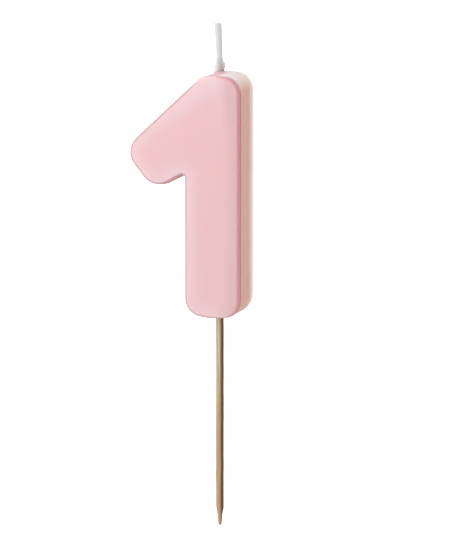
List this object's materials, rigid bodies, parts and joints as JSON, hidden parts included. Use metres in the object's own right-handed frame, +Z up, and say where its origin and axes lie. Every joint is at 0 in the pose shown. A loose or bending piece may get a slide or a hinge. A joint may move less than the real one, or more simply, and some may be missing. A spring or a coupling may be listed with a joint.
{
  "type": "number birthday candle",
  "caption": "Wax figure one with rounded corners, poured in two layers, on a pointed bamboo pick, with a short waxed wick that bends at its root.",
  "frame": {"origin": "on the common axis of pick and wick, level with the lowest wax, where the candle meets the top of a cake", "axes": "+Z up towards the wick, -Y the front of the figure, +X to its right seen from the front"},
  "size_m": [0.0332, 0.015, 0.1455],
  "materials": {
    "pink_wax": "satin candle wax, dyed pale pink",
    "pale_wax": "satin candle wax, undyed with a blush of pink",
    "white_wax": "white priming wax",
    "cotton": "braided cotton",
    "bamboo": "bare split bamboo, fine long grain"
  },
  "bodies": {
    "candle": {"front_wax_layer": "pink_wax", "rear_wax_body": "pale_wax", "bamboo_pick": "bamboo", "wick_braid_lower": "cotton", "wick_wax_collar": "white_wax"},
    "wick_tip": {"wick_braid_tip": "cotton", "wick_wax_coat": "white_wax"}
  },
  "joints": [
    {"name": "wick_bend", "type": "hinge", "parent": "candle", "child": "wick_tip", "pos_m": [0, 0, 0.0739], "axis": [0, 1, 0], "range_deg": [-60, 60]}
  ]
}
